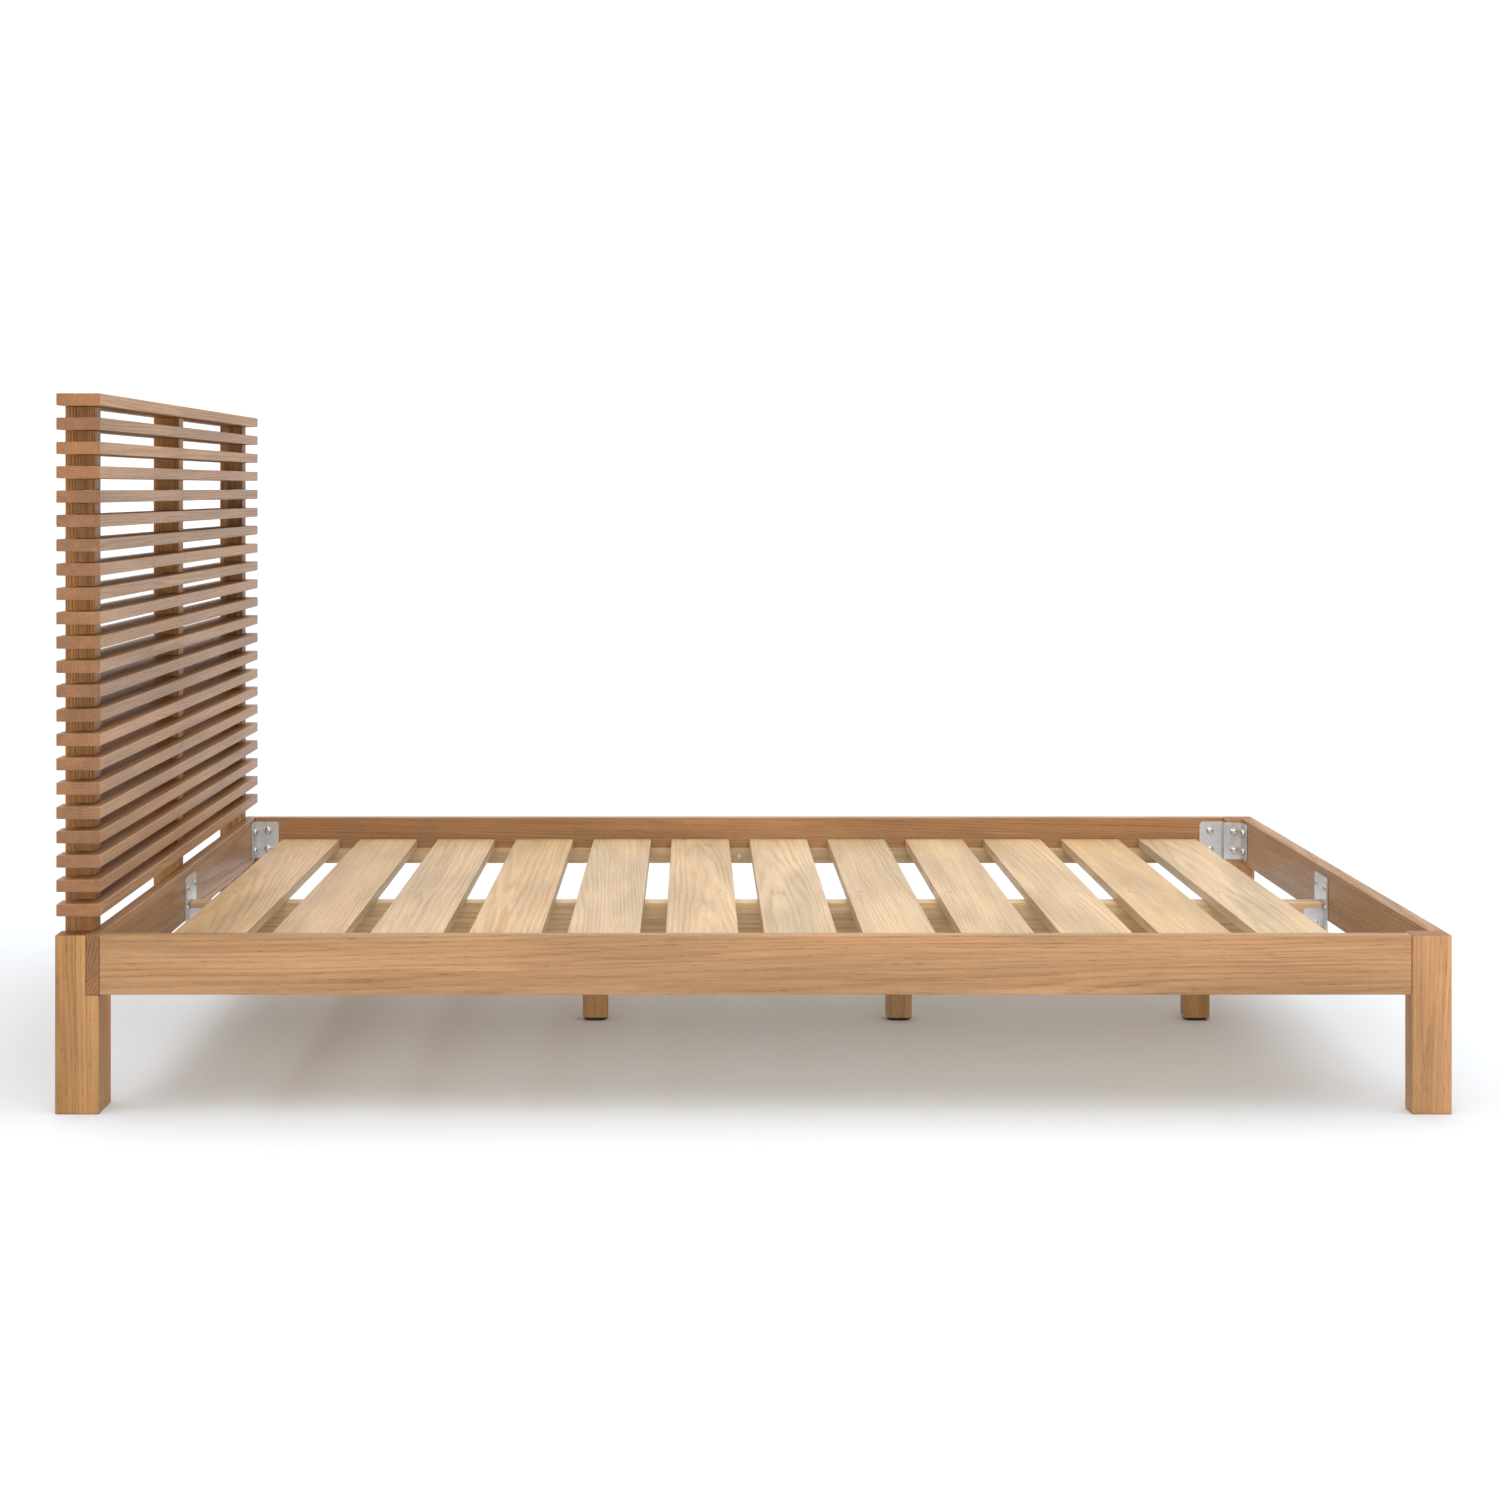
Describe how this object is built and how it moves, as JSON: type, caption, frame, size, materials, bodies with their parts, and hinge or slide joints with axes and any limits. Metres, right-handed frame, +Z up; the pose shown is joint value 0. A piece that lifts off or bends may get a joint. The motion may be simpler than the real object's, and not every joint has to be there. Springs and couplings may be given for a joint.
{
  "type": "slatted wooden bed frame",
  "caption": "Low wooden bed frame with square legs, plain rails, a slatted mattress deck on a centre beam, and a tall headboard of level slats lapped over upright posts.",
  "frame": {"origin": "on the floor, in the middle of the bed's length and width", "axes": "+X from the head end to the foot end, +Y to the sleeper's left, +Z up"},
  "size_m": [2.15, 1.6, 1.11],
  "materials": {
    "leg_wood": "warm honey hardwood, upright grain, clear satin oil",
    "rail_wood": "warm honey hardwood, long level grain, clear satin oil",
    "post_wood": "darker honey hardwood, ribbed upright grain, clear satin oil",
    "slat_wood": "honey hardwood strips with redder end grain, clear satin oil",
    "deck_wood": "pale planed softwood, unfinished",
    "zinc_steel": "zinc-plated pressed steel",
    "foot_plastic": "matt black nylon pad on a plated stud"
  },
  "bodies": {
    "bed_frame": {"head_leg_right": "leg_wood", "head_leg_left": "leg_wood", "foot_leg_right": "leg_wood", "foot_leg_left": "leg_wood", "centre_leg_1": "leg_wood", "centre_leg_2": "leg_wood", "centre_leg_3": "leg_wood", "side_rail_right": "rail_wood", "side_rail_left": "rail_wood", "head_cross_rail": "rail_wood", "foot_rail": "rail_wood", "headboard_post_right": "post_wood", "headboard_post_left": "post_wood", "headboard_post_middle": "post_wood", "headboard_slat_01": "slat_wood", "headboard_slat_02": "slat_wood", "headboard_slat_03": "slat_wood", "headboard_slat_04": "slat_wood", "headboard_slat_05": "slat_wood", "headboard_slat_06": "slat_wood", "headboard_slat_07": "slat_wood", "headboard_slat_08": "slat_wood", "headboard_slat_09": "slat_wood", "headboard_slat_10": "slat_wood", "headboard_slat_11": "slat_wood", "headboard_slat_12": "slat_wood", "headboard_slat_13": "slat_wood", "headboard_slat_14": "slat_wood", "headboard_slat_15": "slat_wood", "headboard_slat_16": "slat_wood", "headboard_slat_17": "slat_wood", "headboard_slat_18": "slat_wood", "headboard_slat_19": "slat_wood", "headboard_slat_20": "slat_wood", "headboard_slat_21": "slat_wood", "headboard_slat_22": "slat_wood", "deck_slat_01": "deck_wood", "deck_slat_02": "deck_wood", "deck_slat_03": "deck_wood", "deck_slat_04": "deck_wood", "deck_slat_05": "deck_wood", "deck_slat_06": "deck_wood", "deck_slat_07": "deck_wood", "deck_slat_08": "deck_wood", "deck_slat_09": "deck_wood", "deck_slat_10": "deck_wood", "deck_slat_11": "deck_wood", "deck_slat_12": "deck_wood", "ledger_right": "deck_wood", "ledger_left": "deck_wood", "centre_beam": "deck_wood", "head_corner_bracket_right": "zinc_steel", "head_corner_bracket_left": "zinc_steel", "foot_corner_bracket_right": "zinc_steel", "foot_corner_bracket_left": "zinc_steel", "beam_hanger_head": "zinc_steel", "beam_hanger_foot": "zinc_steel"},
    "foot_screw_1": {"levelling_foot_1": "foot_plastic"},
    "foot_screw_2": {"levelling_foot_2": "foot_plastic"},
    "foot_screw_3": {"levelling_foot_3": "foot_plastic"}
  },
  "joints": [
    {"name": "foot_height_1", "type": "slide", "parent": "bed_frame", "child": "foot_screw_1", "axis": [0, 0, 1], "range_m": [-0.012, 0]},
    {"name": "foot_height_2", "type": "slide", "parent": "bed_frame", "child": "foot_screw_2", "axis": [0, 0, 1], "range_m": [-0.012, 0]},
    {"name": "foot_height_3", "type": "slide", "parent": "bed_frame", "child": "foot_screw_3", "axis": [0, 0, 1], "range_m": [-0.012, 0]}
  ]
}
